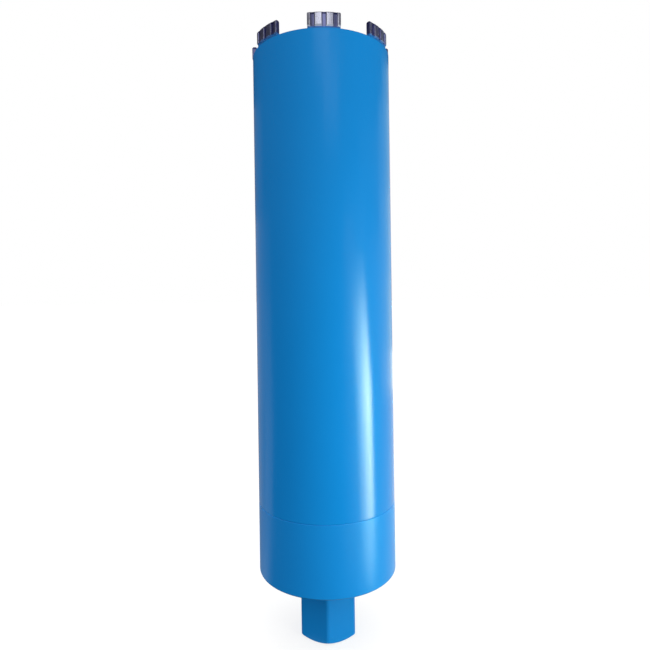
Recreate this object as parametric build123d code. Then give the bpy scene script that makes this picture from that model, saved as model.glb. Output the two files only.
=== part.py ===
from build123d import *
import math
import os

# Wet diamond core bit: a closed barrel with a tapped hexagonal hub and a ring of fluted segments.
# Millimetres. The origin is on the axis, in the open end face of the hub, and +Z runs to the segments.
# The front is -Y, where segment_1 stands, and angles are in degrees about +Z.

# Cutting rim
bit_diameter = 102.0
segment_count = 7
segment_length = 23.0
segment_height = 10.3
segment_relief = 0.75
segment_foot_height = 1.0
segment_top_chamfer = 0.8
segment_corner_chamfer = 0.4
flutes_per_segment = 3
flute_width = 3.1
flute_depth = 0.9
flute_corner_round = 0.4

# Barrel tube
barrel_length = 325.8
barrel_wall = 2.5
rim_chamfer = 0.3

# Lapped joint between the barrel tube and the base cup
lap_length = 6.0
lap_clearance = 0.05
lap_end_gap = 0.3
joint_chamfer = 0.4

# Base cup
cup_height = 49.2
end_plate_thickness = 8.0
cup_inner_chamfer = 3.0
cup_edge_chamfer = 0.8

# Hub, cut from hexagonal bar and tapped 1 1/4 in - 7 UNC
hub_length = 48.0
hub_across_flats = 39.0
hub_turned_diameter = 44.0
hub_face_margin = 0.5
hub_chamfer_angle = 30.0
hub_clocking = -4.0
hub_spigot_diameter = 36.0
hub_spigot_clearance = 0.1
thread_diameter = 31.75
thread_pitch = 25.4 / 7
tapping_allowance = 0.2
thread_mouth_margin = 0.5

# Weld that holds the hub on the end plate
weld_leg = 5.0
weld_crown = 0.6

# Worked out from the sizes above
front_angle = -90.0
bit_radius = bit_diameter / 2
barrel_radius = bit_radius - segment_relief
bore_radius = barrel_radius - barrel_wall
segment_inner_radius = bore_radius - segment_relief
lap_radius = (barrel_radius + bore_radius) / 2
plate_bottom_z = hub_length
plate_top_z = plate_bottom_z + end_plate_thickness
joint_z = plate_bottom_z + cup_height
rim_z = joint_z + barrel_length
segment_pitch_angle = 360 / segment_count
flute_pitch = segment_length / flutes_per_segment
apothem = hub_across_flats / 2
hub_turned_radius = hub_turned_diameter / 2
hub_face_radius = apothem - hub_face_margin
spigot_radius = hub_spigot_diameter / 2
# A 60 degree thread leaves 5/8 of its sharp height between the two diameters.
thread_height = 5 / 8 * math.sqrt(3) / 2 * thread_pitch
tapped_radius = thread_diameter / 2 - thread_height + tapping_allowance / 2
thread_mouth_radius = thread_diameter / 2 + thread_mouth_margin


def turned(points, angle=360.0):
    """Solid of revolution from (radius, z) points, centred on +X where the angle is less than a turn."""
    outline = Polyline(*[(radius, 0, z) for radius, z in points], close=True)
    solid = revolve(make_face(outline), axis=Axis.Z, revolution_arc=angle)
    return Rot(0, 0, -angle / 2) * solid


def barrel_tube():
    """Steel tube with a rebate for the lap at its lower end and broken edges at its rim."""
    return turned([
        (lap_radius, joint_z),
        (barrel_radius - joint_chamfer, joint_z),
        (barrel_radius, joint_z + joint_chamfer),
        (barrel_radius, rim_z - rim_chamfer),
        (barrel_radius - rim_chamfer, rim_z),
        (bore_radius + rim_chamfer, rim_z),
        (bore_radius, rim_z - rim_chamfer),
        (bore_radius, joint_z + lap_length),
        (lap_radius, joint_z + lap_length),
    ])


def base_cup():
    """Turned cup that closes the barrel: a pierced end plate, a short wall and a thin lap above it."""
    plate_hole_radius = spigot_radius + hub_spigot_clearance
    lip_radius = lap_radius - lap_clearance
    lip_z = joint_z + lap_length - lap_end_gap
    return turned([
        (plate_hole_radius, plate_bottom_z),
        (barrel_radius - cup_edge_chamfer, plate_bottom_z),
        (barrel_radius, plate_bottom_z + cup_edge_chamfer),
        (barrel_radius, joint_z - joint_chamfer),
        (barrel_radius - joint_chamfer, joint_z),
        (lip_radius, joint_z),
        (lip_radius, lip_z),
        (bore_radius, lip_z),
        (bore_radius, plate_top_z + cup_inner_chamfer),
        (bore_radius - cup_inner_chamfer, plate_top_z),
        (plate_hole_radius, plate_top_z),
    ])


def hexagon_bar(bottom_z, top_z):
    """Prism of the hub's hexagon, with one corner at the clocked angle."""
    corner_angle = front_angle + hub_clocking
    outline = RegularPolygon(radius=apothem, side_count=6, major_radius=False, rotation=corner_angle)
    return Pos(0, 0, bottom_z) * extrude(outline, top_z - bottom_z)


def hex_hub():
    """Hexagonal hub: turned corners, a coned end face, a spigot in the end plate and a tapping bore."""
    chamfer_height = (hub_turned_radius - hub_face_radius) * math.tan(math.radians(hub_chamfer_angle))
    envelope = turned([
        (0, 0),
        (hub_face_radius, 0),
        (hub_turned_radius, chamfer_height),
        (hub_turned_radius, hub_length),
        (0, hub_length),
    ])
    spigot = Pos(0, 0, hub_length) * extrude(Circle(spigot_radius), end_plate_thickness)
    mouth_depth = thread_mouth_radius - tapped_radius
    bore = turned([
        (0, 0),
        (thread_mouth_radius, 0),
        (tapped_radius, mouth_depth),
        (tapped_radius, plate_top_z),
        (0, plate_top_z),
    ])
    return (envelope & hexagon_bar(0, hub_length)) + spigot - bore


def hub_weld():
    """Fillet weld run round the hub: a crowned cone from the end plate that meets the turned corners first."""
    plate_toe_radius = hub_turned_radius + weld_leg
    root_radius = apothem - weld_crown
    depth = plate_toe_radius - root_radius
    crown_radius = hub_turned_radius + weld_leg / 2 + weld_crown
    crown_z = plate_bottom_z - weld_leg / 2 - weld_crown
    bead = turned([
        (root_radius, plate_bottom_z),
        (plate_toe_radius, plate_bottom_z),
        (crown_radius, crown_z),
        (root_radius, plate_bottom_z - depth),
    ])
    return bead - hexagon_bar(0, plate_bottom_z)


def flute(face_radius, floor_radius, angle):
    """Cutter for one flute: a notch with a round-cornered floor, as far beyond the face as it is deep."""
    depth = face_radius - floor_radius
    notch = Pos(face_radius, 0) * RectangleRounded(2 * abs(depth), flute_width, flute_corner_round)
    cutter = Pos(0, 0, rim_z - segment_height) * extrude(notch, 3 * segment_height)
    return Rot(0, 0, angle) * cutter


def segment():
    """One sintered segment on +X: foot as wide as the tube's wall, bevelled body, flutes on both faces."""
    body_z = rim_z + segment_foot_height
    bevel_z = body_z + segment_relief
    top_z = rim_z + segment_height
    length_angle = math.degrees(segment_length / bit_radius)
    body = turned([
        (bore_radius, rim_z),
        (barrel_radius, rim_z),
        (barrel_radius, body_z),
        (bit_radius, bevel_z),
        (bit_radius, top_z - segment_top_chamfer),
        (bit_radius - segment_top_chamfer, top_z),
        (segment_inner_radius + segment_top_chamfer, top_z),
        (segment_inner_radius, top_z - segment_top_chamfer),
        (segment_inner_radius, bevel_z),
        (bore_radius, body_z),
    ], length_angle)
    upright = body.edges().filter_by(Axis.Z)
    body = chamfer(upright.filter_by(lambda edge: edge.length > segment_height / 2), segment_corner_chamfer)
    pitch_angle = math.degrees(flute_pitch / bit_radius)
    for place in range(flutes_per_segment):
        angle = (place - (flutes_per_segment - 1) / 2) * pitch_angle
        body -= flute(bit_radius, bit_radius - flute_depth, angle)
    for place in range(flutes_per_segment - 1):
        angle = (place - (flutes_per_segment - 2) / 2) * pitch_angle
        body -= flute(segment_inner_radius, segment_inner_radius + flute_depth, angle)
    return body


nodes = {
    "barrel_tube": barrel_tube(),
    "base_cup": base_cup(),
    "hex_hub": hex_hub(),
    "hub_weld": hub_weld(),
}
for number in range(segment_count):
    segment_angle = front_angle + number * segment_pitch_angle
    nodes[f"segment_{number + 1}"] = Rot(0, 0, segment_angle) * segment()

os.makedirs("parts", exist_ok=True)
for name, solid in nodes.items():
    export_step(solid, f"parts/{name}.step")
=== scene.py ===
import math
import random

import bpy
from mathutils import Matrix, Vector, noise


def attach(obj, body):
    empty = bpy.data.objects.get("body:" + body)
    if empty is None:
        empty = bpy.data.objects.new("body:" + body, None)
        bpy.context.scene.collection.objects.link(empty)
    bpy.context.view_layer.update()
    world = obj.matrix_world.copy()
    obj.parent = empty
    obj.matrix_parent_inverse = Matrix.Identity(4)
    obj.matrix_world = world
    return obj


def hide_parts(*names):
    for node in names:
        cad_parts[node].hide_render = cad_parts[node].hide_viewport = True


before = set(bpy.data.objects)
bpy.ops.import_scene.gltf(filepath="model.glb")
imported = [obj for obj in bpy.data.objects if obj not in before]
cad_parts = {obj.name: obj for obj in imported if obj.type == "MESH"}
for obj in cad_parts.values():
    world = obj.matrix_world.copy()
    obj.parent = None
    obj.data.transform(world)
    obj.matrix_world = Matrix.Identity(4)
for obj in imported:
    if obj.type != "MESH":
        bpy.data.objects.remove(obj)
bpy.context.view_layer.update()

# Diamond core bit. Lengths below are in millimetres and become metres where a mesh is made.
# The origin is on the axis, in the hub's open end, and +Z runs up to the segments.
MM = 0.001
FRONT = -90.0

BIT_RADIUS = 51.0
SEGMENT_INNER = 47.0
BARREL_RADIUS = 50.25
BORE_RADIUS = 47.75
LAP_RADIUS = 49.0
LAP_CLEARANCE = 0.05
LAP_END_GAP = 0.3
PLATE_BOTTOM = 48.0
PLATE_TOP = 56.0
PLATE_HOLE_RADIUS = 18.1
CUP_INNER_BEVEL = 3.0
JOINT_Z = 97.2
LAP_TOP = 103.2
RIM_Z = 423.0


# Colours and nodes.

ENAMEL_IOR = 1.5
ENAMEL_SPECULAR = 0.16
DIAMOND_IOR = 2.42


def linear(hex_colour):
    """sRGB hex colour as the linear RGBA that Blender's sockets take."""
    channels = [int(hex_colour[i:i + 2], 16) / 255 for i in (1, 3, 5)]
    return [c / 12.92 if c <= 0.04045 else ((c + 0.055) / 1.055) ** 2.4 for c in channels] + [1.0]


def node(tree, kind, settings=None, inputs=None):
    """Adds a node. Settings are its own properties; inputs take a value, or the output that feeds them."""
    made = tree.nodes.new(kind)
    for name, value in (settings or {}).items():
        setattr(made, name, value)
    for name, value in (inputs or {}).items():
        if isinstance(value, bpy.types.NodeSocket):
            tree.links.new(value, made.inputs[name])
        else:
            made.inputs[name].default_value = value
    return made


def new_material(name):
    """An empty node material and its tree."""
    material = bpy.data.materials.new(name)
    material.use_nodes = True
    material.node_tree.nodes.clear()
    return material, material.node_tree


def show(tree, shader):
    """Ends a material's tree with the shader as its surface."""
    node(tree, "ShaderNodeOutputMaterial", None, {"Surface": shader})


def principled(tree, inputs):
    """Principled shader with those inputs."""
    return node(tree, "ShaderNodeBsdfPrincipled", None, inputs).outputs["BSDF"]


def glow(tree, colour, strength):
    """Shader that gives off light."""
    return node(tree, "ShaderNodeEmission", None, {"Color": colour, "Strength": strength}).outputs["Emission"]


def mix_shaders(tree, share, first, second):
    """The first shader, replaced by the second as the share goes from 0 to 1."""
    return node(tree, "ShaderNodeMixShader", None, {0: share, 1: first, 2: second}).outputs["Shader"]


def blend(tree, share, first, second):
    """The first colour, replaced by the second as the share goes from 0 to 1."""
    return node(tree, "ShaderNodeMix", {"data_type": "RGBA"}, {0: share, 6: first, 7: second}).outputs[2]


def maths(tree, operation, *values, clamp=False):
    """Result of one operation on the values, held to 0..1 if clamped."""
    settings = {"operation": operation, "use_clamp": clamp}
    return node(tree, "ShaderNodeMath", settings, dict(enumerate(values))).outputs["Value"]


def ramp(tree, value, start, end, low=0.0, high=1.0):
    """Goes from low to high while the value goes from start to end, and is held beyond them."""
    inputs = {"Value": value, "From Min": start, "From Max": end, "To Min": low, "To Max": high}
    return node(tree, "ShaderNodeMapRange", None, inputs).outputs["Result"]


def object_place(tree):
    """Position on the object, in metres."""
    return node(tree, "ShaderNodeTexCoord").outputs["Object"]


def parts_of(tree, vector):
    """The X, Y and Z outputs of a vector."""
    return node(tree, "ShaderNodeSeparateXYZ", None, {"Vector": vector}).outputs


def axis_radius(tree, place):
    """Distance from the object's axis, in metres."""
    plan = node(tree, "ShaderNodeVectorMath", {"operation": "MULTIPLY"}, {0: place, 1: (1.0, 1.0, 0.0)})
    length = node(tree, "ShaderNodeVectorMath", {"operation": "LENGTH"}, {0: plan.outputs["Vector"]})
    return length.outputs["Value"]


def stretched(tree, place, scale):
    """Position scaled by axis: a texture on it is drawn out along the axes with a scale below 1."""
    return node(tree, "ShaderNodeMapping", None, {"Vector": place, "Scale": scale}).outputs["Vector"]


def noise_texture(tree, place, millimetres, detail):
    """Noise with one feature in that many millimetres."""
    inputs = {"Vector": place, "Scale": 1 / (millimetres * MM), "Detail": detail}
    return node(tree, "ShaderNodeTexNoise", None, inputs).outputs["Fac"]


def bump(tree, height, strength, millimetres):
    """Surface normal tilted by a texture whose relief is that many millimetres deep."""
    inputs = {"Height": height, "Strength": strength, "Distance": millimetres * MM}
    return node(tree, "ShaderNodeBump", None, inputs).outputs["Normal"]


def sprayed_blue_enamel(name, roughness):
    """Blue enamel sprayed on steel and stoved: even satin colour with a faint orange peel.

    A darker blue line is painted along the tube's rim and the cup's lower edge as painted shade.
    """
    material, tree = new_material(name)
    place = object_place(tree)
    film = noise_texture(tree, place, 45, 3.0)
    colour = blend(tree, film, linear("#0d83d2"), linear("#0f86d6"))
    height = parts_of(tree, place)["Z"]
    # Painted shade: a darker blue along the round of the tube's rim and the cup's lower edge.
    rim = ramp(tree, height, (RIM_Z - 0.45) * MM, (RIM_Z - 0.15) * MM, 0.0, 0.6)
    low = ramp(tree, height, (PLATE_BOTTOM + 0.9) * MM, (PLATE_BOTTOM + 0.6) * MM, 0.0, 0.4)
    # The hub and the weld are below the cup's edge too, but nearer the axis.
    outer = maths(tree, "GREATER_THAN", axis_radius(tree, place), 45 * MM)
    edge_shade = maths(tree, "MAXIMUM", rim, maths(tree, "MULTIPLY", low, outer))
    edge_shaded = blend(tree, edge_shade, colour, linear("#0a4672"))
    gloss = ramp(tree, film, 0.0, 1.0, roughness - 0.02, roughness + 0.02)
    peel = noise_texture(tree, place, 2.5, 1.0)
    show(tree, principled(tree, {
        "Base Color": edge_shaded, "Roughness": gloss, "Normal": bump(tree, peel, 0.25, 0.03),
        "IOR": ENAMEL_IOR, "Specular IOR Level": ENAMEL_SPECULAR}))
    return material


def drawn_tube_steel():
    """Bore of drawn steel tube: dull, dark, lengthwise lines, with blue overspray that fades from the rim."""
    material, tree = new_material("drawn_tube_steel")
    place = object_place(tree)
    lines = noise_texture(tree, stretched(tree, place, (1.0, 1.0, 0.03)), 0.8, 3.0)
    steel = blend(tree, lines, linear("#4c4d50"), linear("#77797c"))
    overspray_and_side_shade = ramp(tree, parts_of(tree, place)["Z"], (RIM_Z - 55) * MM, (RIM_Z - 4) * MM)
    speckles = maths(tree, "MULTIPLY_ADD", noise_texture(tree, place, 14, 6.0), 0.9, -0.45)
    cover = maths(tree, "ADD", overspray_and_side_shade, speckles, clamp=True)
    colour = blend(tree, cover, steel, linear("#0a6fb4"))
    bare = ramp(tree, cover, 0.0, 1.0, 0.45, 0.0)
    show(tree, principled(tree, {
        "Base Color": colour, "Metallic": bare, "Roughness": 0.5, "Normal": bump(tree, lines, 0.4, 0.05)}))
    return material


def tapped_steel():
    """Freshly tapped free-cutting steel: bright flanks with tool lines round the bore."""
    material, tree = new_material("tapped_steel")
    lines = noise_texture(tree, stretched(tree, object_place(tree), (0.06, 0.06, 1.0)), 0.25, 2.0)
    colour = blend(tree, lines, linear("#8d8c8a"), linear("#b4b3b0"))
    show(tree, principled(tree, {
        "Base Color": colour, "Metallic": 1.0, "Roughness": 0.33, "Normal": bump(tree, lines, 0.5, 0.02)}))
    return material


def sintered_metal():
    """Hot-pressed metal powder: pale lands with fine ground lines, and flutes painted darker as shade in
    their recesses, with painted shade darkest at their upper ends.

    The bevel over the foot is painted pale and matt, as a painted reflection. Blue overspray lies on the
    foot, with a thin mist of it above; the mist and the height the spray reaches grow towards the object's
    sides as painted shade.
    """
    material, tree = new_material("sintered_metal")
    place = object_place(tree)
    parts = parts_of(tree, place)
    grain = noise_texture(tree, place, 0.5, 4.0)
    lines = noise_texture(tree, stretched(tree, place, (0.12, 0.12, 1.0)), 0.6, 3.0)

    radius = axis_radius(tree, place)
    outer_land = ramp(tree, radius, (BIT_RADIUS - 0.45) * MM, (BIT_RADIUS - 0.15) * MM)
    inner_land = ramp(tree, radius, (SEGMENT_INNER + 0.45) * MM, (SEGMENT_INNER + 0.2) * MM)
    facing_up = parts_of(tree, node(tree, "ShaderNodeNewGeometry").outputs["Normal"])["Z"]
    bevel = ramp(tree, facing_up, -0.2, -0.45)
    top = ramp(tree, facing_up, 0.75, 0.95)
    upright = maths(tree, "MAXIMUM", outer_land, inner_land)
    land = maths(tree, "MAXIMUM", upright, maths(tree, "MAXIMUM", bevel, top))

    pale = blend(tree, lines, linear("#c9cce8"), linear("#f4f6ff"))
    # Painted shade: the flutes take a darker copy of the metal than the lands, as shade in the recesses.
    dark = blend(tree, grain, linear("#6c7098"), linear("#9498c8"))
    metal = blend(tree, land, dark, pale)
    # Painted shade at the flutes' upper ends, under the top's edge.
    flute_top_shade = ramp(tree, parts["Z"], (RIM_Z + 8.6) * MM, (RIM_Z + 9.1) * MM, 0.0, 0.8)
    flute_end_shade = maths(tree, "MULTIPLY_ADD", land, -0.8, flute_top_shade, clamp=True)
    flute_shaded = blend(tree, flute_end_shade, metal, linear("#14142e"))
    bare = principled(tree, {
        "Base Color": flute_shaded, "Metallic": 1.0, "Roughness": 0.29, "Normal": bump(tree, grain, 0.4, 0.04)})
    # Painted reflection: the bevel is a pale matt surface in place of the bright line it reflects.
    bevel_reflection = principled(tree, {"Base Color": linear("#dbe6ff"), "Roughness": 0.6, "Specular IOR Level": 0.3})
    skin = mix_shaders(tree, bevel, bare, bevel_reflection)

    # Painted shade: the navy mist and the height the spray reaches grow with the distance from the X = 0
    # plane, so the segments at the sides are darker.
    sideways = maths(tree, "ABSOLUTE", parts["X"])
    side_shade_start, side_shade_end = 12 * MM, 26 * MM
    reach = ramp(tree, sideways, side_shade_start, side_shade_end, 0.2 * MM, 1.1 * MM)
    above = maths(tree, "SUBTRACT", parts["Z"], reach)
    edge = maths(tree, "MULTIPLY_ADD", noise_texture(tree, place, 1.4, 3.0), -0.8 * MM, above)
    spray = ramp(tree, edge, (RIM_Z + 0.5) * MM, (RIM_Z + 0.1) * MM, 0.0, 0.9)
    overspray_and_side_shade = ramp(tree, sideways, side_shade_start, side_shade_end, 0.14, 0.34)
    paint = blend(tree, spray, linear("#24277e"), linear("#0a74c4"))
    film = principled(tree, {
        "Base Color": paint, "Roughness": 0.45, "IOR": ENAMEL_IOR, "Specular IOR Level": ENAMEL_SPECULAR})
    show(tree, mix_shaders(tree, maths(tree, "MAXIMUM", spray, overspray_and_side_shade), skin, film))
    return material


def diamond_grit():
    """Synthetic diamond crystals: small, hard-edged and pale, bright where a face catches light."""
    material, tree = new_material("diamond_grit")
    shade = noise_texture(tree, object_place(tree), 0.9, 0.0)
    colour = blend(tree, shade, linear("#55555c"), linear("#8e8e8a"))
    show(tree, principled(tree, {"Base Color": colour, "Roughness": 0.15, "IOR": DIAMOND_IOR}))
    return material


# Mesh making.

def polar(radius, angle, z):
    """Point in metres from a radius and height in millimetres and an angle in degrees."""
    turn = math.radians(angle)
    return (radius * math.cos(turn) * MM, radius * math.sin(turn) * MM, z * MM)


def make_piece(name, points, faces, materials, replaced, face_materials, sharp_angle=35):
    """Makes a smooth mesh piece with sharp edges, which rides on the body and stands for a CAD node."""
    mesh = bpy.data.meshes.new(name)
    mesh.from_pydata(points, [], faces)
    for material in materials:
        mesh.materials.append(material)
    mesh.polygons.foreach_set("use_smooth", [True] * len(faces))
    mesh.polygons.foreach_set("material_index", face_materials)
    mesh.validate()
    mesh.set_sharp_from_angle(angle=math.radians(sharp_angle))
    piece = bpy.data.objects.new(name, mesh)
    bpy.context.scene.collection.objects.link(piece)
    weighting = piece.modifiers.new("even_shading", "WEIGHTED_NORMAL")
    weighting.keep_sharp = True
    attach(piece, "root")
    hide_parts(replaced)


def ring_mesh(columns, face_material=None):
    """Points, faces and material numbers of a closed ring; the columns are its closed cross-sections."""
    count, size = len(columns), len(columns[0])
    points, index, faces, face_materials = [], {}, [], []

    def point_number(point):
        rounded = tuple(round(value, 8) for value in point)
        if rounded not in index:
            index[rounded] = len(points)
            points.append(point)
        return index[rounded]

    grid = [[point_number(point) for point in column] for column in columns]
    for i in range(count):
        here, there = grid[i], grid[(i + 1) % count]
        for j in range(size):
            k = (j + 1) % size
            corners = []
            for corner in (here[j], there[j], there[k], here[k]):
                if corner not in corners:
                    corners.append(corner)
            if len(corners) > 2:
                faces.append(corners)
                face_materials.append(face_material(j) if face_material else 0)
    return points, faces, face_materials


ARC_STEPS = 4
ROUND_STEPS = 288


def rounded_outline(corners):
    """Closed (radius, z) outline whose corners, given as (radius, z, rounding), are turned to small arcs."""
    outline = []
    for i, (x, z, rounding) in enumerate(corners):
        here = Vector((x, z))
        if not rounding:
            outline.append(here)
            continue
        before = (Vector(corners[i - 1][:2]) - here).normalized()
        after = (Vector(corners[(i + 1) % len(corners)][:2]) - here).normalized()
        half = before.angle(after) / 2
        reach = rounding / math.tan(half)
        centre = here + (before + after).normalized() * (rounding / math.sin(half))
        start, end = here + before * reach - centre, here + after * reach - centre
        for step in range(ARC_STEPS + 1):
            outline.append(centre + start.lerp(end, step / ARC_STEPS).normalized() * rounding)
    return outline


def smooth_min(a, b, soft):
    """The lesser of two lengths, blended over a soft width where they are close."""
    closeness = max(soft - abs(a - b), 0.0) / soft
    return min(a, b) - closeness * closeness * soft / 4


def turned(outline):
    """Columns of a turned part, from its (radius, z) outline."""
    return [[polar(radius, FRONT + 360 * i / ROUND_STEPS, z) for radius, z in outline]
            for i in range(ROUND_STEPS)]


# Barrel tube and base cup.

enamel = sprayed_blue_enamel("sprayed_blue_enamel", 0.2)
cup_enamel = sprayed_blue_enamel("sprayed_blue_enamel_on_turned_steel", 0.33)
bore_steel = drawn_tube_steel()
thread_steel = tapped_steel()
matrix_metal = sintered_metal()
diamond = diamond_grit()

# The joint's V groove: how far the tube's lower and the cup's upper edge are broken.
TUBE_GROOVE = 0.36
CUP_GROOVE = 0.34

tube_outline = rounded_outline([
    (LAP_RADIUS, JOINT_Z, 0),
    (BARREL_RADIUS - TUBE_GROOVE, JOINT_Z, 0.08),
    (BARREL_RADIUS, JOINT_Z + TUBE_GROOVE, 0.3),
    (BARREL_RADIUS, RIM_Z, 0.3),
    (BORE_RADIUS, RIM_Z, 0.3),
    (BORE_RADIUS, LAP_TOP, 0),
    (LAP_RADIUS, LAP_TOP, 0),
])
# The paint ends in the rim's round; all rows inside and below it are bare steel.
tube_bare = [radius < BORE_RADIUS + 0.2 and z < RIM_Z - 0.05 for radius, z in tube_outline]
points, faces, kinds = ring_mesh(turned(tube_outline), lambda row: 1 if tube_bare[row] else 0)
make_piece("barrel", points, faces, [enamel, bore_steel], "barrel_tube", kinds)

cup_outline = rounded_outline([
    (PLATE_HOLE_RADIUS, PLATE_BOTTOM, 0),
    (BARREL_RADIUS, PLATE_BOTTOM, 0.8),
    (BARREL_RADIUS, JOINT_Z - CUP_GROOVE, 0.25),
    (BARREL_RADIUS - CUP_GROOVE, JOINT_Z, 0.08),
    (LAP_RADIUS - LAP_CLEARANCE, JOINT_Z, 0),
    (LAP_RADIUS - LAP_CLEARANCE, LAP_TOP - LAP_END_GAP, 0.2),
    (BORE_RADIUS, LAP_TOP - LAP_END_GAP, 0.2),
    (BORE_RADIUS, PLATE_TOP + CUP_INNER_BEVEL, 0.6),
    (BORE_RADIUS - CUP_INNER_BEVEL, PLATE_TOP, 0.6),
    (PLATE_HOLE_RADIUS, PLATE_TOP, 0),
])
cup_bare = [radius < LAP_RADIUS and z > PLATE_BOTTOM + 1 for radius, z in cup_outline]
points, faces, kinds = ring_mesh(turned(cup_outline), lambda row: 1 if cup_bare[row] else 0)
make_piece("closing_cup", points, faces, [cup_enamel, bore_steel], "base_cup", kinds)


# Hub and its thread.

ACROSS_FLATS = 39.0
TURNED_RADIUS = 22.0
END_FACE_RADIUS = 19.0
HUB_CLOCKING = -4.0
CORNER_ANGLE = FRONT + HUB_CLOCKING
SPIGOT_RADIUS = 18.0
THREAD_CREST = 14.011
THREAD_ROOT = 15.875
THREAD_PITCH = 25.4 / 7
THREAD_DEPTH = THREAD_ROOT - THREAD_CREST
THREAD_FLANK = THREAD_DEPTH * math.tan(math.radians(30))
THREAD_ROOT_FLAT = THREAD_PITCH / 8
THREAD_CREST_FLAT = THREAD_PITCH - THREAD_ROOT_FLAT - 2 * THREAD_FLANK
MOUTH_RADIUS = 16.375
EDGE_SOFTNESS = 0.35
END_CONE_SLOPE = math.tan(math.radians(30))
SPIGOT_BEVEL = 0.4
# Degrees from a corner towards the middle of a flat, closer together where the turned corner starts.
CORNER_STEPS = (0, 0.8, 1.5, 2.0, 2.4, 2.8, 3.3, 4.0, 5.0, 6.5, 9, 12, 16, 20, 25)


def hub_side(angle):
    """Radius of the hexagon's side at an angle, with its corners turned down."""
    from_flat = (angle - CORNER_ANGLE) % 60 - 30
    flat = ACROSS_FLATS / 2 / math.cos(math.radians(from_flat))
    return smooth_min(flat, TURNED_RADIUS, EDGE_SOFTNESS)


def thread_radius(travel):
    """Radius of the tapped wall at a distance along the pitch: crest, flank, root, flank."""
    travel %= THREAD_PITCH
    root_start = THREAD_CREST_FLAT + THREAD_FLANK
    root_end = root_start + THREAD_ROOT_FLAT
    if travel < THREAD_CREST_FLAT:
        return THREAD_CREST
    if travel < root_start:
        return THREAD_CREST + THREAD_DEPTH * (travel - THREAD_CREST_FLAT) / THREAD_FLANK
    if travel < root_end:
        return THREAD_ROOT
    return THREAD_ROOT - THREAD_DEPTH * (travel - root_end) / THREAD_FLANK


def hub_column(angle):
    """Cross-section of the hub at an angle: end face, cone, side, spigot, then down the thread."""
    side = hub_side(angle)
    crease = (side - END_FACE_RADIUS) * END_CONE_SLOPE
    column = [(MOUTH_RADIUS, 0.0), (END_FACE_RADIUS - 0.2, 0.0)]
    # Rows are close together where the cone meets the side.
    heights = [crease * share for share in (0.1, 0.4, 0.7, 0.9)]
    heights += [crease + rise for rise in (0.0, 0.08, 0.2, 0.5, 1.5, 12, 24, 36, 46)]
    column += [(smooth_min(side, END_FACE_RADIUS + z / END_CONE_SLOPE, EDGE_SOFTNESS), z) for z in heights]
    column += [(side, PLATE_BOTTOM), (SPIGOT_RADIUS, PLATE_BOTTOM), (SPIGOT_RADIUS, PLATE_TOP - SPIGOT_BEVEL),
               (SPIGOT_RADIUS - SPIGOT_BEVEL, PLATE_TOP), (MOUTH_RADIUS, PLATE_TOP)]
    return [polar(radius, angle, z) for radius, z in column]


def thread_column(angle, turn_share):
    """Cross-section of the tapped wall from the plate down to the mouth, its rows on the thread's helix."""
    crest, flank, root = THREAD_CREST_FLAT, THREAD_FLANK, THREAD_ROOT_FLAT
    breaks = (0.0, crest * 0.5, crest, crest + flank * 0.5, crest + flank, crest + flank + root,
              crest + 1.5 * flank + root)
    column = []
    for lap in range(int(PLATE_TOP / THREAD_PITCH) + 1, -2, -1):
        for travel in reversed(breaks):
            z = (lap + turn_share) * THREAD_PITCH + travel
            held = min(max(z, 0.0), PLATE_TOP)
            mouth = MOUTH_RADIUS - min(held, PLATE_TOP - held)
            column.append(polar(max(thread_radius(travel), mouth), angle, held))
    return column


corner_offsets = [-step for step in CORNER_STEPS[:0:-1]] + [*CORNER_STEPS, 30]
hub_angles = [CORNER_ANGLE + 60 * sector + step for sector in range(6) for step in corner_offsets]
hub_columns = [hub_column(angle) + thread_column(angle, (angle - hub_angles[0]) / 360)
               for angle in hub_angles]
outer_rows = len(hub_column(0))
points, faces, kinds = ring_mesh(hub_columns, lambda row: 1 if row >= outer_rows - 1 else 0)
make_piece("hexagon_hub", points, faces, [cup_enamel, thread_steel], "hex_hub", kinds, 30)


# Fillet weld round the hub.

WELD_TOE_RADIUS = 27.0
WELD_ROOT_Z = 40.4
WELD_BULGE = Vector((26.0, 44.4))
WELD_OUTWARD = Vector((0.65, -0.76))
WELD_MEAN_RADIUS = 23.5
WELD_RIPPLE = 1.7
WELD_RIPPLE_HEIGHT = 0.22
WELD_INSET = 0.6
WELD_STEPS = 540
WELD_ROWS = 14


def weld_column(angle):
    """Cross-section of the bead: from the plate over the rippled crown to the hub, and back inside them."""
    side = hub_side(angle)
    turn = math.radians(angle)
    wander = noise.noise(Vector((math.cos(turn) * 3, math.sin(turn) * 3, 5.0)))
    toe = Vector((WELD_TOE_RADIUS - 0.5 + 0.4 * wander, PLATE_BOTTOM))
    root = Vector((side - 0.05, WELD_ROOT_Z + 0.8 * (side - ACROSS_FLATS / 2) + 0.3 * wander))
    crown_path = turn * WELD_MEAN_RADIUS
    column = []
    for row in range(WELD_ROWS + 1):
        t = row / WELD_ROWS
        point = toe * (1 - t) ** 2 + WELD_BULGE * 2 * t * (1 - t) + root * t * t
        # Each ripple is a crescent, so it lags at the toes of the bead.
        phase = crown_path / WELD_RIPPLE - 1.2 * (2 * t - 1) ** 2
        crest = abs(math.sin(math.pi * phase)) ** 0.6
        lift = WELD_RIPPLE_HEIGHT * (crest - 0.7) * math.sin(math.pi * t) ** 0.5
        column.append(point + WELD_OUTWARD * lift)
    column += [Vector((side - WELD_INSET, 41.5)), Vector((side - WELD_INSET, PLATE_BOTTOM + 0.3)),
               Vector((WELD_TOE_RADIUS - WELD_INSET, PLATE_BOTTOM + 0.3))]
    return [polar(radius, angle, z) for radius, z in reversed(column)]


points, faces, kinds = ring_mesh([weld_column(360 * i / WELD_STEPS) for i in range(WELD_STEPS)])
make_piece("hub_weld_bead", points, faces, [cup_enamel], "hub_weld", kinds, 60)


# Fluted segments.

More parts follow.
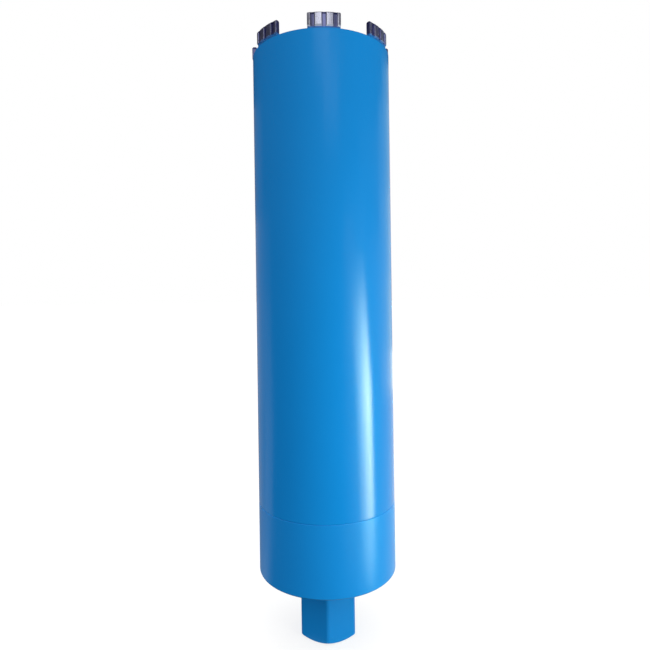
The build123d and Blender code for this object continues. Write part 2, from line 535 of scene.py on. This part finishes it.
SEGMENT_COUNT = 7
SEGMENT_LENGTH = 23.0
SEGMENT_HEIGHT = 10.3
FLUTE_WIDTH = 3.1
FLUTE_DEPTH = 0.9
FLUTE_SOFTNESS = 0.5
FACE_SOFTNESS = 0.15
FOOT_HEIGHT = 1.0
RELIEF = 0.75
TOP_CHAMFER = 0.8
CORNER_CHAMFER = 0.4
# The metal lies this far inside the CAD faces, for the crystals to stand out of it.
MATRIX_INSET = 0.07
SKIN_DEPTH = 0.05
GRAIN_DEPTH = 0.06
CRYSTAL_COUNT = 380
CRYSTAL_FACES = ("outer", "inner", "top", "end")
CRYSTAL_FACE_SHARES = (0.36, 0.32, 0.22, 0.10)
CRYSTAL_SIZES = (0.14, 0.22)
CRYSTAL_SUNK_SHARES = (0.45, 0.75)
HALF_ANGLE = math.degrees(SEGMENT_LENGTH / BIT_RADIUS) / 2
FLUTE_PITCH_ANGLE = math.degrees(SEGMENT_LENGTH / 3 / BIT_RADIUS)
# Rows of the segment: heights above the rim, closer together at the foot's bevel and the top's chamfer.
ROWS_UP = (0.0, 0.5, 0.9, 1.0, 1.15, 1.35, 1.55, 1.7, 1.85, 2.2, 2.7, 3.2, 3.7, 4.2, 4.7, 5.2, 5.7, 6.2, 6.7,
           7.2, 7.7, 8.2, 8.7, 9.2, 9.5, 9.7, 9.9, 10.1, 10.2, 10.3)
COLUMNS_ALONG = 92
ROWS_ACROSS = 10
OUTER_FLUTES = (-FLUTE_PITCH_ANGLE, 0.0, FLUTE_PITCH_ANGLE)
INNER_FLUTES = (-FLUTE_PITCH_ANGLE / 2, FLUTE_PITCH_ANGLE / 2)


def in_flute(angle, centres, radius):
    """How far a point is inside the nearest flute's side wall, in millimetres."""
    return max(FLUTE_WIDTH / 2 - abs(math.radians(angle - centre)) * radius for centre in centres)


def flute_cut(angle, centres, radius):
    """Depth of the flutes at an angle, with soft side walls and rounded floors."""
    inside = in_flute(angle, centres, radius)
    share = min(max(inside / FLUTE_SOFTNESS + 0.25, 0.0), 1.0)
    return FLUTE_DEPTH * share * share * (3 - 2 * share)


def face_radii(angle, rise):
    """Inner and outer radius of a segment at an angle from its middle and a height above the rim."""
    spread = min(max((rise - FOOT_HEIGHT) / RELIEF, 0.0), 1.0) * RELIEF
    narrowing = max(rise - (SEGMENT_HEIGHT - TOP_CHAMFER), 0.0)
    outer = min(BARREL_RADIUS + spread, BIT_RADIUS - narrowing)
    inner = max(BORE_RADIUS - spread, SEGMENT_INNER + narrowing)
    outer_floor = BIT_RADIUS - flute_cut(angle, OUTER_FLUTES, BIT_RADIUS)
    inner_floor = SEGMENT_INNER + flute_cut(angle, INNER_FLUTES, SEGMENT_INNER)
    outer = smooth_min(outer, outer_floor, FACE_SOFTNESS)
    inner = -smooth_min(-inner, -inner_floor, FACE_SOFTNESS)
    return inner, outer


def along_angles():
    """Angles of a segment's columns: even steps, with more of them at the flutes' walls."""
    marks = {round(-HALF_ANGLE + 2 * HALF_ANGLE * i / COLUMNS_ALONG, 4) for i in range(COLUMNS_ALONG + 1)}
    for centre in OUTER_FLUTES:
        for side in (-1, 1):
            edge = math.degrees(FLUTE_WIDTH / 2 / BIT_RADIUS) * side
            for shift in (-0.25, -0.1, 0.0, 0.1):
                marks.add(round(centre + edge - side * 0.1 + shift, 4))
    kept = []
    for mark in sorted(marks):
        if not kept or mark - kept[-1] > 0.06:
            kept.append(mark)
    return kept


def skin_depth(point):
    """How far the as-sintered skin is sunk at a point, in millimetres, by a fine grain."""
    grain = noise.noise(point * 1.6) * 0.5 + noise.noise(point * 4.1) * 0.35
    return MATRIX_INSET + SKIN_DEPTH + GRAIN_DEPTH * grain


def octahedron(centre, size, turn):
    """Points and faces of one crystal, a blunt double pyramid."""
    directions = ((1, 0, 0), (0, 1, 0), (-1, 0, 0), (0, -1, 0), (0, 0, 1), (0, 0, -1))
    corners = [Vector(direction) * size for direction in directions]
    faces = ((0, 1, 4), (1, 2, 4), (2, 3, 4), (3, 0, 4), (1, 0, 5), (2, 1, 5), (3, 2, 5), (0, 3, 5))
    return [tuple(centre + turn @ corner) for corner in corners], faces


def segment_body(middle):
    """Points and faces of the sintered body of one segment whose middle is at that angle."""
    angles = along_angles()
    across = [i / ROWS_ACROSS for i in range(ROWS_ACROSS + 1)]
    last_i, last_j, last_k = len(angles) - 1, ROWS_ACROSS, len(ROWS_UP) - 1
    points, index = [], {}

    def corner(i, j, k):
        if (i, j, k) in index:
            return index[i, j, k]
        angle, share, rise = angles[i], across[j], ROWS_UP[k]
        inner, outer = face_radii(angle, rise)
        radius = inner + (outer - inner) * share
        # The upright corners are broken, so the end columns pull in at the outer and inner faces.
        from_face = min(share, 1 - share) * (outer - inner)
        corner_cut = max(CORNER_CHAMFER - from_face, 0.0)
        limit = HALF_ANGLE - math.degrees(corner_cut / BIT_RADIUS)
        angle = min(max(angle, -limit), limit)
        turn = math.radians(angle)
        raw = Vector((radius * math.cos(turn), radius * math.sin(turn), rise))
        # Shifted by the segment's own angle, so no two segments have the same grain.
        sink = skin_depth(raw + Vector((middle, 0, 0)))
        if j == last_j:
            radius -= sink
        elif j == 0:
            radius += sink
        if i in (0, last_i):
            angle -= math.copysign(math.degrees(sink / BIT_RADIUS), angle)
        if k == last_k:
            rise -= sink
        index[i, j, k] = len(points)
        points.append(polar(radius, middle + angle, RIM_Z + rise))
        return index[i, j, k]

    faces = []
    for i in range(last_i):
        for k in range(last_k):
            faces.append((corner(i, last_j, k), corner(i + 1, last_j, k),
                          corner(i + 1, last_j, k + 1), corner(i, last_j, k + 1)))
            faces.append((corner(i, 0, k + 1), corner(i + 1, 0, k + 1),
                          corner(i + 1, 0, k), corner(i, 0, k)))
        for j in range(last_j):
            faces.append((corner(i, j, last_k), corner(i, j + 1, last_k),
                          corner(i + 1, j + 1, last_k), corner(i + 1, j, last_k)))
            faces.append((corner(i, j, 0), corner(i + 1, j, 0),
                          corner(i + 1, j + 1, 0), corner(i, j + 1, 0)))
    for j in range(last_j):
        for k in range(last_k):
            faces.append((corner(0, j, k), corner(0, j + 1, k),
                          corner(0, j + 1, k + 1), corner(0, j, k + 1)))
            faces.append((corner(last_i, j, k + 1), corner(last_i, j + 1, k + 1),
                          corner(last_i, j + 1, k), corner(last_i, j, k)))
    return points, faces


def segment_mesh(middle, draw):
    """Points, faces and material numbers of one segment: its body, set with diamond crystals."""
    points, faces = segment_body(middle)
    kinds = [0] * len(faces)
    for _ in range(CRYSTAL_COUNT):
        face = draw.choices(CRYSTAL_FACES, CRYSTAL_FACE_SHARES)[0]
        size = draw.uniform(*CRYSTAL_SIZES)
        sunk = size * draw.uniform(*CRYSTAL_SUNK_SHARES)
        angle = draw.uniform(-HALF_ANGLE + 0.4, HALF_ANGLE - 0.4)
        rise = draw.uniform(2.2, SEGMENT_HEIGHT - 0.9)
        inner, outer = face_radii(angle, rise)
        if face == "outer":
            radius = outer - MATRIX_INSET - sunk
        elif face == "inner":
            radius = inner + MATRIX_INSET + sunk
        elif face == "top":
            inner, outer = face_radii(angle, SEGMENT_HEIGHT)
            radius = draw.uniform(inner + 0.3, outer - 0.3)
            rise = SEGMENT_HEIGHT - MATRIX_INSET - sunk
        else:
            radius = draw.uniform(inner + 0.5, outer - 0.5)
            angle = math.copysign(HALF_ANGLE - math.degrees((MATRIX_INSET + sunk) / radius), angle)
        # No crystal reaches beyond the CAD part.
        radius = min(radius, BIT_RADIUS - 0.02 - size)
        rise = min(rise, SEGMENT_HEIGHT - 0.01 - size)
        # The first three of four draws are the axis that the crystal is turned about.
        spin = Vector([draw.gauss(0, 1) for _ in range(4)])
        turn = Matrix.Rotation(draw.uniform(0, math.tau), 3, Vector(spin[:3]).normalized())
        centre = Vector(polar(radius, middle + angle, RIM_Z + rise))
        crystal, sides = octahedron(centre, size * MM, turn)
        start = len(points)
        points.extend(crystal)
        faces.extend(tuple(start + number for number in side) for side in sides)
        kinds.extend([1] * len(sides))
    return points, faces, kinds


for number in range(1, SEGMENT_COUNT + 1):
    middle = FRONT + (number - 1) * 360 / SEGMENT_COUNT
    points, faces, kinds = segment_mesh(middle, random.Random(40 + number))
    make_piece(f"fluted_segment_{number}", points, faces, [matrix_metal, diamond],
               f"segment_{number}", kinds, 38)


# Floor, light and camera.

CAMERA_AZIMUTH = -92.85
CAMERA_DISTANCE = 398.71
CAMERA_HEIGHT = 244.95
CAMERA_ROLL = -0.80
FOCAL_PIXELS = 533.154
PICTURE = 650
PRINCIPAL = (324.088, 299.534)
SENSOR = 36.0
MIDDLE_Z = 216.5
WHITE = (1, 1, 1)
WARM_WHITE = (1.0, 1.0, 0.86)
STRIP_YELLOW = (1, 1, 0.5)

scene = bpy.context.scene
scene.view_settings.view_transform = "Standard"


def staged_mesh(name, points, faces, material):
    """A mesh that is not part of the object."""
    mesh = bpy.data.meshes.new(name)
    mesh.from_pydata(points, [], faces)
    mesh.materials.append(material)
    made = bpy.data.objects.new(name, mesh)
    scene.collection.objects.link(made)
    return made


def seen_itself(tree):
    """1 where the camera, a gloss or a glass sees a surface itself, 0 where it only casts light."""
    rays = node(tree, "ShaderNodeLightPath").outputs
    seen = maths(tree, "MAXIMUM", rays["Is Camera Ray"], rays["Is Glossy Ray"])
    return maths(tree, "MAXIMUM", seen, rays["Is Transmission Ray"])


def pale_floor():
    """Matt white paper: takes a soft shadow, and is topped up to the background's white where it is seen."""
    material, tree = new_material("pale_paper_floor")
    paper = node(tree, "ShaderNodeBsdfDiffuse", None, {"Color": linear("#6e6e6e")}).outputs["BSDF"]
    shaded = node(tree, "ShaderNodeBsdfDiffuse", None, {"Color": linear("#8d8d8d")}).outputs["BSDF"]
    topped = node(tree, "ShaderNodeAddShader", None, {0: shaded, 1: glow(tree, (*WHITE, 1), 0.76)})
    show(tree, mix_shaders(tree, seen_itself(tree), paper, topped.outputs["Shader"]))
    return material


def studio_world():
    """A world that is seen white, and that casts more light from overhead than from the horizon."""
    world = bpy.data.worlds.new("studio_white")
    world.use_nodes = True
    tree = world.node_tree
    tree.nodes.clear()
    direction = node(tree, "ShaderNodeTexCoord").outputs["Generated"]
    overhead = ramp(tree, parts_of(tree, direction)["Z"], 0.0, 1.0, 0.58, 1.59)
    level = node(tree, "ShaderNodeMix", None, {0: seen_itself(tree), 2: overhead, 3: 1.0}).outputs[0]
    sky = node(tree, "ShaderNodeBackground", None, {"Color": (*WHITE, 1), "Strength": level})
    node(tree, "ShaderNodeOutputWorld", None, {"Surface": sky.outputs["Background"]})
    # Sampled as a lamp, the world would shine through the flags below into the gloss.
    world.cycles.sampling_method = "NONE"
    return world


FLOOR_RADIUS = 60000.0
FLOOR_SIDES = 64
floor_ring = [polar(FLOOR_RADIUS, 360 * i / FLOOR_SIDES, 0.0) for i in range(FLOOR_SIDES)]
staged_mesh("studio_floor", floor_ring, [tuple(range(FLOOR_SIDES))], pale_floor())
scene.world = studio_world()


def around(azimuth, elevation, distance, centre_z=MIDDLE_Z):
    """Point in metres at a direction from the object's middle.

    The azimuth is 0 towards the camera and grows to its right.
    """
    turn, lift = math.radians(CAMERA_AZIMUTH + azimuth), math.radians(elevation)
    flat = distance * math.cos(lift)
    return Vector((flat * math.cos(turn), flat * math.sin(turn), centre_z + distance * math.sin(lift))) * MM


def glow_cloth(name, strength, tint=WHITE):
    """Cloth that shines in its tint, or with a low strength stays dark."""
    material, tree = new_material(name)
    show(tree, glow(tree, (*tint, 1), strength))
    return material


def show_in_gloss_only(staged):
    """Leaves a reflector or flag out of everything but the object's gloss."""
    staged.visible_camera = False
    staged.visible_diffuse = False
    staged.visible_shadow = False
    staged.visible_transmission = False


def grid_faces(across, up):
    """Quads between points that run up one column after another."""
    row = up + 1
    return [(i * row + j, i * row + j + 1, (i + 1) * row + j + 1, (i + 1) * row + j)
            for i in range(across) for j in range(up)]


def card(name, azimuths, elevations, distance, strength, tint=WHITE):
    """A reflector or flag bent round the object, which shows only in its gloss.

    Its azimuths and elevations are in degrees and its distance is in millimetres.
    """
    across, up = 24, 12
    points = [around(azimuths[0] + (azimuths[1] - azimuths[0]) * i / across,
                     elevations[0] + (elevations[1] - elevations[0]) * j / up, distance)
              for i in range(across + 1) for j in range(up + 1)]
    cloth = glow_cloth(name + "_cloth", strength, tint)
    show_in_gloss_only(staged_mesh(name, points, grid_faces(across, up), cloth))


card("left_flag", (-180, 4), (-14, 52), 910, 0.04)
card("left_wall_low", (-180, -115), (-14, 2), 880, 0.45)
card("left_wall_middle", (-180, -115), (2, 14), 880, 0.38)
card("left_wall_high", (-180, -115), (14, 30), 880, 0.2)
card("left_front_wall_low", (-115, -96), (-14, 2), 880, 0.55)
card("left_front_wall_high", (-115, -96), (2, 14), 880, 0.3)
card("front_flag", (-7, 60), (-30, 26), 900, 0.03)
card("front_softbox", (-11, 14), (34, 52), 895, 1.65)
card("front_softbox_low", (3, 27), (26, 34), 890, 1.45)
card("right_flag", (15, 105), (26, 52), 905, 0.05)
card("top_cloth", (-180, 180), (52, 90), 900, 0.35)
card("back_flag", (105, 180), (18, 52), 900, 0.06)
card("right_flag_low", (60, 104), (11, 26), 905, 0.35)
# Pale tints, for the greenish edge of light that the photo has at the right.
card("back_reflector_lowest", (104, 172), (-12, -6), 880, 1.9, (1.0, 1.0, 0.8))
card("back_reflector_low", (104, 150), (-6, 5), 880, 1.45, (0.87, 1.0, 0.8))
card("back_reflector_middle", (104, 150), (5, 18), 880, 1.2, (0.8, 1.0, 0.95))
card("back_reflector_high", (104, 150), (18, 30), 880, 0.95, (0.7, 0.97, 1.0))
card("back_reflector_highest", (118, 150), (30, 35), 880, 0.7, (0.7, 0.97, 1.0))
card("back_reflector_edge", (150, 180), (-6, 35), 880, 0.65)


def floor_sheet(name, azimuths, radii, strength):
    """A sheet of dark or grey paper just over the floor, which shows only in the object's gloss.

    Its azimuths are in degrees and its radii in millimetres.
    """
    steps = 48
    points = []
    for i in range(steps + 1):
        angle = CAMERA_AZIMUTH + azimuths[0] + (azimuths[1] - azimuths[0]) * i / steps
        points += [polar(radius, angle, 0.5) for radius in radii]
    faces = [(2 * i, 2 * i + 1, 2 * i + 3, 2 * i + 2) for i in range(steps)]
    show_in_gloss_only(staged_mesh(name, points, faces, glow_cloth(name + "_paper", strength)))


floor_sheet("foot_shade", (-175, -10), (24, 85), 0.04)
floor_sheet("front_sheet", (-94, 40), (85, 900), 0.04)
floor_sheet("left_sheet", (-180, -115), (85, 1500), 0.4)
floor_sheet("left_front_sheet", (-115, -94), (85, 1500), 0.75)


# Height in millimetres, brightness as a share of the brightest, and lean in degrees of the strip light.
STRIP_ROWS = ((0, 0.25, -0.8), (21, 0.33, -0.4), (47, 0.45, 0.6), (81, 0.58, 0.6), (115, 0.74, -0.6),
              (158, 0.95, -1.4), (169, 0.92, -2.2), (201, 0.68, -4.8), (231, 0.38, -7.2), (262, 0.11, -9.0),
              (292, 0.0, -10.0))


def strip_row(z):
    """Brightness and lean of the strip light at a height in millimetres."""
    for (low, level, lean), (high, next_level, next_lean) in zip(STRIP_ROWS, STRIP_ROWS[1:]):
        if z <= high:
            share = (z - low) / (high - low)
            return level + (next_level - level) * share, lean + (next_lean - lean) * share
    return STRIP_ROWS[-1][1:]


def strip_panel(name, dim_end, bright_end, distance, z_low, z_high, strength):
    """Upright strip light close to the barrel, brightest near its far edge; it gives the long highlight."""
    material, tree = new_material(name + "_cloth")
    level = node(tree, "ShaderNodeAttribute", {"attribute_name": "level"}).outputs["Fac"]
    show(tree, glow(tree, (*STRIP_YELLOW, 1), maths(tree, "MULTIPLY", level, strength)))
    across, up = 20, 30
    points, levels = [], []
    for i in range(across + 1):
        for j in range(up + 1):
            u, z = i / across, z_low + (z_high - z_low) * j / up
            brightness, lean = strip_row(z)
            near, far = around(dim_end + lean, 0, distance), around(bright_end + lean, 0, distance)
            spot = near.lerp(far, u)
            points.append((spot.x, spot.y, z * MM))
            # Rises to 0.7 of the width, is even for a little, and falls off at the far edge.
            levels.append(brightness * min((u / 0.7) ** 1.4, 1.0, 1.0 - 2.2 * (u - 0.75)))
    made = staged_mesh(name, points, grid_faces(across, up), material)
    made.data.attributes.new("level", "FLOAT", "POINT").data.foreach_set("value", levels)
    show_in_gloss_only(made)


strip_panel("strip_light_face", 40.5, 70.5, 154, 1, 292, 60)


def area_lamp(name, azimuth, distance, centre_z, width, height, watts):
    """Soft lamp aimed level at the object's axis; its own face stays out of the gloss.

    The azimuth is in degrees, and the distance, the height of its centre and its size in millimetres.
    """
    light = bpy.data.lights.new(name, "AREA")
    light.shape = "RECTANGLE"
    light.size, light.size_y = width * MM, height * MM
    light.energy = watts
    light.color = WARM_WHITE
    lamp = bpy.data.objects.new(name, light)
    lamp.location = around(azimuth, 0, distance, centre_z)
    aim = around(0, 0, 0, centre_z) - lamp.location
    lamp.rotation_euler = aim.to_track_quat("-Z", "Y").to_euler()
    lamp.visible_glossy = False
    lamp.visible_camera = False
    scene.collection.objects.link(lamp)


area_lamp("key_softbox", 52, 900, MIDDLE_Z, 600, 500, 3.0)
area_lamp("strip_light", 36, 150, 160, 50, 300, 0.07)
area_lamp("front_softbox_lamp", 15, 300, 560, 200, 120, 0.09)
area_lamp("low_fill", 60, 250, 40, 100, 60, 0.06)


def fitted_camera():
    """The pinhole camera that was fitted to the photo."""
    lens = bpy.data.cameras.new("camera")
    lens.sensor_width = SENSOR
    lens.lens = SENSOR * FOCAL_PIXELS / PICTURE
    lens.shift_x = 0.5 - PRINCIPAL[0] / PICTURE
    lens.shift_y = PRINCIPAL[1] / PICTURE - 0.5
    lens.clip_start = 0.01
    camera = bpy.data.objects.new("camera", lens)
    camera.matrix_world = (
        Matrix.Translation(polar(CAMERA_DISTANCE, CAMERA_AZIMUTH, CAMERA_HEIGHT))
        @ Matrix.Rotation(math.radians(CAMERA_AZIMUTH + 90), 4, "Z")
        @ Matrix.Rotation(math.radians(90), 4, "X")
        @ Matrix.Rotation(math.radians(CAMERA_ROLL), 4, "Z")
    )
    scene.collection.objects.link(camera)
    return camera


scene.camera = fitted_camera()
